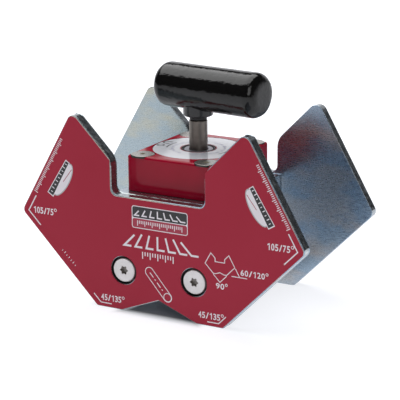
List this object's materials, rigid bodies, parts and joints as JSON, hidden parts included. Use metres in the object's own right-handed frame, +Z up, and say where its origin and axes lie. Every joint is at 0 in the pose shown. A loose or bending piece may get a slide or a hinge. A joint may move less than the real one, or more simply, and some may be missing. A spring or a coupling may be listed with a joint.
{
  "type": "switchable welding magnet holder",
  "caption": "Switchable magnetic holder with paired angle plates for welding at set angles, turned on and off by a T-handle on its top block.",
  "frame": {"origin": "middle of the footprint, on the surface that the plates' feet stand on", "axes": "+X along the plates' width to the right seen from the front, +Y from the front plate to the back plate, +Z up along the handle stem"},
  "size_m": [0.1978, 0.101, 0.1479],
  "materials": {
    "zinc_plate": "brushed zinc plating with a faint blue and yellow cast, darker cut edges",
    "label_vinyl": "satin printed vinyl, crimson, with a thin pale margin",
    "screw_steel": "bright turned steel",
    "pole_steel": "ground and zinc plated",
    "magnet": "nickel plated",
    "brass": "turned",
    "cap_alloy": "machined",
    "hard_steel": "polished",
    "washer_nylon": "moulded nylon",
    "red_paint": "glossy red enamel with light orange peel",
    "black_rubber": "matt black",
    "white_label": "glossy white disc",
    "stem_steel": "gunmetal",
    "black_enamel": "glossy black",
    "dipped_vinyl": "glossy black dip, slightly crinkled"
  },
  "bodies": {
    "base": {"front_angle_plate": "zinc_plate", "back_angle_plate": "zinc_plate", "front_label": "label_vinyl", "back_label": "label_vinyl", "plate_screw_front_left": "screw_steel", "plate_screw_front_right": "screw_steel", "plate_screw_back_left": "screw_steel", "plate_screw_back_right": "screw_steel", "pole_housing": "pole_steel", "lower_magnet": "magnet", "separator_disc": "brass", "thrust_washer": "washer_nylon", "top_housing": "red_paint", "top_screw_1": "screw_steel", "top_screw_2": "screw_steel", "top_screw_3": "screw_steel", "top_screw_4": "screw_steel", "stop_pin": "hard_steel", "detent_ball": "hard_steel", "detent_spring": "hard_steel", "stem_bush": "brass", "dust_seal": "black_rubber", "top_label": "white_label"},
    "rotor": {"handle_stem": "stem_steel", "stem_spacer": "black_rubber", "handle_collar": "black_enamel", "handle_core": "pole_steel", "handle_grip": "dipped_vinyl", "drive_cap": "cap_alloy", "drive_pin_left": "hard_steel", "drive_pin_right": "hard_steel", "upper_magnet": "magnet"}
  },
  "joints": [
    {"name": "handle_turn", "type": "hinge", "parent": "base", "child": "rotor", "pos_m": [0, 0, 0.095], "axis": [0, 0, 1], "range_deg": [0, 180]}
  ]
}
